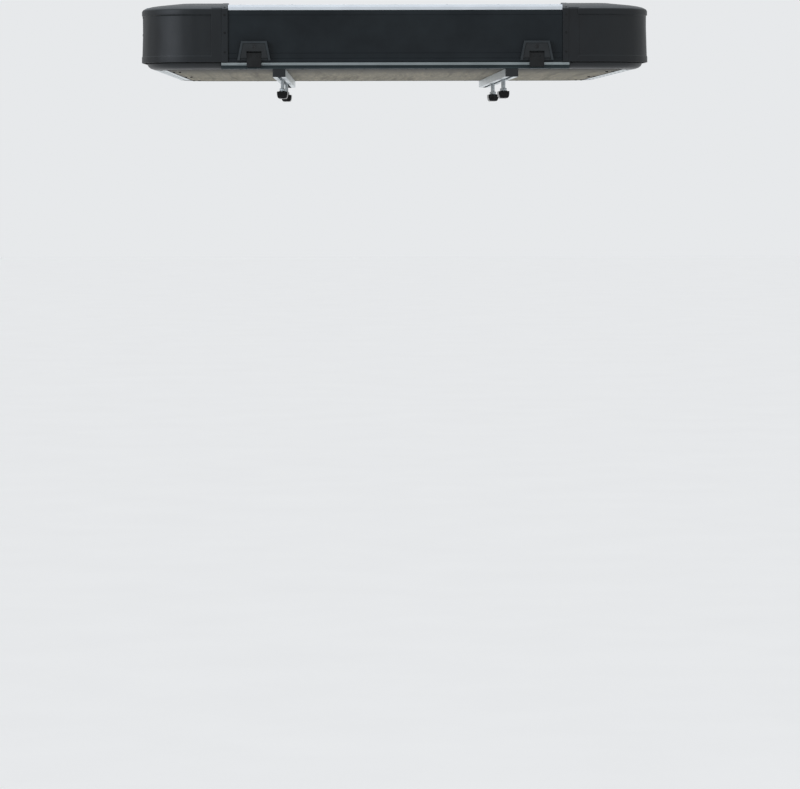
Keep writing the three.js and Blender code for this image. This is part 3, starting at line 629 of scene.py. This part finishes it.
ease("roof_panel", "lid", "anodised_aluminium", "sheet", 1.2 * mm, 3)
ease("lid_seal", "lid", "seal_rubber", "rubber", 2.4 * mm, 4)
print("eased pieces ready")


# fasteners: one head is modelled, then copied to each place

# in mm; recess is the radius of the hole or socket in the head
screwShapes = {
    "rivet": {"radius": 3.0, "height": 1.1, "recess": 1.1, "depth": 0.5, "sides": 18},
    "blind": {"radius": 3.2, "height": 1.0, "recess": 1.0, "depth": 0.4, "sides": 14},
    "pin": {"radius": 2.6, "height": 0.8, "recess": 1.2, "depth": 0.5, "sides": 16},
    "button": {"radius": 4.6, "height": 2.6, "recess": 2.2, "depth": 1.6, "sides": 18},
    "wood": {"radius": 4.5, "height": 0.7, "recess": 2.0, "depth": 0.5, "sides": 16},
}
crown = 0.78  # width of a head's top against its foot


def addDisc(sides, radius, height, base=0.0):
    # a short upright cylinder standing on the height base
    bpy.ops.mesh.primitive_cylinder_add(vertices=sides, radius=radius, depth=height,
                                        location=(0, 0, height / 2 + base))
    disc = bpy.context.active_object
    return placeIn(disc, disc.matrix_world.copy())


def modelHead(kind):
    shape = screwShapes[kind]
    head = addDisc(shape["sides"], shape["radius"] * mm, shape["height"] * mm)
    head.name = "head_" + kind
    chooseFaces(head, lambda centre, normal: normal.z > 0.9)
    bpy.ops.transform.resize(value=(crown, crown, 1), center_override=(0, 0, 0))
    bpy.ops.mesh.inset(thickness=(shape["radius"] * crown - shape["recess"]) * mm)
    extrudeBy((0, 0, -shape["depth"] * mm))
    done()
    softenEdges(head, 0.15 * mm, 1, 40)
    return head


def fastenAll(name, kind, body, slot, look, places):
    # places are (point, outward normal)
    model = modelHead(kind)
    heads = [placeIn(twin(model, "head"), Matrix.Translation(Vector(at)) @ turnTo(normal))
             for at, normal in places]
    bpy.data.objects.remove(model)
    return finishPiece(join(heads, name), body, slot, looks[look])


def along(start, stop, count):
    return [start + (stop - start) * i / (count - 1) for i in range(count)]


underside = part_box("base_front_rail")[0][2]
lidBottom = lidLow[2]
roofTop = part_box("roof_panel")[1][2]
signs = (-1, 1)

seamRivets = {
    "fromSeam": 9 * mm,
    "heights": (27 * mm, 79 * mm, 127.5 * mm),  # above the lid's lower edge
    "shoulderInset": 7 * mm,  # one more sits on the rounded top of each seam strip
    "shoulderDrop": 14.2 * mm,
    "shoulderTilt": 0.45,
}
alongX = lidLow[0] + seamRivets["fromSeam"]
alongY = halfLength - (halfWidth - lidLow[0]) + seamRivets["fromSeam"]
proud = cornerShape["stripProud"]
tilt = seamRivets["shoulderTilt"]
cornerRivets = []
for sx in signs:
    for sy in signs:
        for height in seamRivets["heights"]:
            z = lidBottom + height
            cornerRivets.append(((sx * alongX, sy * (halfLength + proud), z), (0, sy, 0)))
            cornerRivets.append(((sx * (halfWidth + proud), sy * alongY, z), (sx, 0, 0)))
        inset = seamRivets["shoulderInset"]
        z = lidHigh[2] - seamRivets["shoulderDrop"]
        up = 1 - tilt / 4
        cornerRivets.append(((sx * alongX, sy * (halfLength - inset), z), (0, sy * tilt, up)))
        cornerRivets.append(((sx * (halfWidth - inset), sy * alongY, z), (sx * tilt, 0, up)))
fastenAll("cornerRivets", "rivet", "lid", "black_steel", "powder", cornerRivets)

# rows are (start, stop, count), in metres
flangeRows = {"sideInset": 49 * mm, "sideRow": (-0.82, 0.82, 11),
              "endInset": 38 * mm, "endRow": (-0.42, 0.42, 6)}
flangeScrews = [((sx * (halfWidth - flangeRows["sideInset"]), y, underside), (0, 0, -1))
                for sx in signs for y in along(*flangeRows["sideRow"])]
flangeScrews += [((x, sy * (halfLength - flangeRows["endInset"]), underside), (0, 0, -1))
                 for sy in signs for x in along(*flangeRows["endRow"])]
fastenAll("flangeScrews", "wood", "base", "black_steel", "powder", flangeScrews)

boltPlaces = {"x": (0.602, 0.619), "y": (-0.62, 0.2, 0.86)}  # pairs at the floor panel's long edges
panelBolts = [((sx * x, y, underside), (0, 0, -1))
              for sx in signs for x in boltPlaces["x"] for y in boltPlaces["y"]]
fastenAll("panelBolts", "button", "base", "black_steel", "powder", panelBolts)

roofRows = {"bows": (-0.45, 0.45), "besideBow": 12 * mm, "bowRow": (-0.63, 0.63, 15),
            "edgeInset": 22 * mm, "sideRow": (-0.75, 0.75, 13), "endRow": (-0.42, 0.42, 7)}
roofRivets = [((x, bow + sy * roofRows["besideBow"], roofTop), (0, 0, 1))
              for bow in roofRows["bows"] for sy in signs for x in along(*roofRows["bowRow"])]
roofRivets += [((sx * (halfWidth - roofRows["edgeInset"]), y, roofTop), (0, 0, 1))
               for sx in signs for y in along(*roofRows["sideRow"])]
roofRivets += [((x, sy * (halfLength - roofRows["edgeInset"]), roofTop), (0, 0, 1))
               for sy in signs for x in along(*roofRows["endRow"])]
fastenAll("roofRivets", "blind", "lid", "anodised_aluminium", "silverY", roofRivets)

hookPins = {"apart": 8.3 * mm, "height": 15 * mm, "strapFace": 1.4 * mm}
leafScrews = {"across": (-21 * mm, 0, 21 * mm), "down": (9 * mm, 26 * mm), "leaf": 3 * mm}
footBolts = {"inward": (9 * mm, 44 * mm), "apart": 23 * mm, "plate": 3 * mm}
for side, sign in sides.items():
    low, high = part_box(f"latch_hook_{side}")
    middle = (low[0] + high[0]) / 2
    face = low[1] + hookPins["strapFace"]
    fastenAll(f"hookRivets_{side}", "pin", f"latch_hook_{side}", "black_steel", "powder",
              [((middle + sx * hookPins["apart"], face, lidBottom + hookPins["height"]), (0, -1, 0))
               for sx in signs])
    low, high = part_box(f"hinge_lid_leaf_{side}")
    middle = (low[0] + high[0]) / 2
    face = low[1] + leafScrews["leaf"]
    fastenAll(f"hingeScrews_{side}", "wood", "lid", "zinc_steel", "zinc",
              [((middle + dx, face, high[2] - dz), (0, 1, 0))
               for dx in leafScrews["across"] for dz in leafScrews["down"]])
    low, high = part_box(f"strut_foot_{side}")
    plateTop = low[2] + footBolts["plate"]
    middle = (low[1] + high[1]) / 2
    outer = max(abs(low[0]), abs(high[0]))
    fastenAll(f"footScrews_{side}", "button", "base", "zinc_steel", "zinc",
              [((sign * (outer - dx), middle + sy * footBolts["apart"], plateTop), (0, 0, 1))
               for dx in footBolts["inward"] for sy in signs])
print("fasteners ready")


# lock nuts above the clamp jaws

nutShape = {
    "across": 15 * mm,  # over the flats
    "height": 6.5 * mm,
    "chamfer": 1.2 * mm,
    "crown": 0.7 * mm,
    "flange": 9.5 * mm,  # radius of the washer face
    "flangeHeight": 1.6 * mm,
    "ease": 0.5 * mm,
    "apart": 48 * mm,  # from the middle of a jaw to each stud
}


def modelNut():
    cornerReach = nutShape["across"] / 2 / math.cos(math.pi / 6)
    body = addDisc(6, cornerReach, nutShape["height"], nutShape["flangeHeight"])
    chooseFaces(body, lambda centre, normal: normal.z > 0.9)
    bpy.ops.mesh.inset(thickness=nutShape["chamfer"])
    bpy.ops.transform.translate(value=(0, 0, nutShape["crown"]))
    done()
    softenEdges(body, nutShape["ease"], 2, 25)
    flange = addDisc(28, nutShape["flange"], nutShape["flangeHeight"])
    softenEdges(flange, nutShape["ease"], 2, 25)
    return join([body, flange], "nut")


nut = modelNut()
for side in sides:
    for end in ends:
        jaw = f"clamp_jaw_{end}_{side}"
        low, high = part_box(jaw)
        x, y = (low[0] + high[0]) / 2, (low[1] + high[1]) / 2
        pair = [placeIn(twin(nut, "nut"), Matrix.Translation((x, y + sy * nutShape["apart"], high[2])))
                for sy in signs]
        finishPiece(join(pair, f"lockNuts_{end}_{side}"), jaw, "zinc_steel", looks["zinc"])
bpy.data.objects.remove(nut)
print("lock nuts ready")


# floor, light and camera

studio = {"floorZ": -6.0, "floorSize": 600, "sky": "#f2f4f6", "skyStrength": 0.9, "aimHeight": 0.15}
bpy.ops.mesh.primitive_plane_add(size=studio["floorSize"], location=(0, 0, studio["floorZ"]))
floor = bpy.context.active_object
floor.name = "floor"
floorLook, floorTree, floorShader, floorCoords = startMaterial("paleFloor", Roughness=0.9)
floorShade = noiseAt(floorTree, floorCoords, (1, 1, 1), 0.6, 3)
floorTree.links.new(ramp(floorTree, floorShade, [(0.3, "#fdfdfd"), (0.7, "#ffffff")]),
                    floorShader.inputs["Base Color"])
floor.data.materials.append(floorLook)

world = bpy.data.worlds.new("studio")
bpy.context.scene.world = world
world.use_nodes = True
sky = world.node_tree.nodes["Background"].inputs
sky["Color"].default_value = toLinear(studio["sky"])
sky["Strength"].default_value = studio["skyStrength"]
bpy.context.scene.view_settings.view_transform = "Standard"

lamps = {
    "key": {"at": (-5.5, -4.5, 2.4), "size": 4.0, "power": 300, "color": "#e9f1fc"},
    "fill": {"at": (5.0, -5.0, 1.2), "size": 4.0, "power": 22, "color": "#f4f7fd"},
    "top": {"at": (0.0, 1.0, 5.5), "size": 5.0, "power": 90, "color": "#f2f6fd"},
    "low": {"at": (0.5, 4.5, -1.2), "size": 3.0, "power": 7, "color": "#ffffff"},
}
for name, lamp in lamps.items():
    bpy.ops.object.light_add(type="AREA", location=lamp["at"])
    light = bpy.context.active_object
    light.name = name
    light.data.size = lamp["size"]
    light.data.energy = lamp["power"]
    light.data.color = toLinear(lamp["color"])[:3]
    aim = Vector((0, 0, studio["aimHeight"])) - Vector(lamp["at"])
    light.rotation_euler = aim.to_track_quat("-Z", "Y").to_euler()

# metres, millimetres of lens, and degrees
cameraPlace = {"at": (-0.1375, -11.655, -0.125), "lens": 175.5, "sensor": 36, "farthest": 200,
               "pitch": -3.70, "yaw": 0.798, "roll": 0.125}
bpy.ops.object.camera_add(location=cameraPlace["at"])
camera = bpy.context.active_object
camera.data.lens = cameraPlace["lens"]
camera.data.sensor_width = cameraPlace["sensor"]
camera.data.clip_end = cameraPlace["farthest"]
yaw = Matrix.Rotation(-math.radians(cameraPlace["yaw"]), 3, "Z")
pitch = Matrix.Rotation(math.radians(90 + cameraPlace["pitch"]), 3, "X")
roll = Matrix.Rotation(-math.radians(cameraPlace["roll"]), 3, "Z")
camera.rotation_euler = (yaw @ pitch @ roll).to_euler()
bpy.context.scene.camera = camera
print("studio ready")
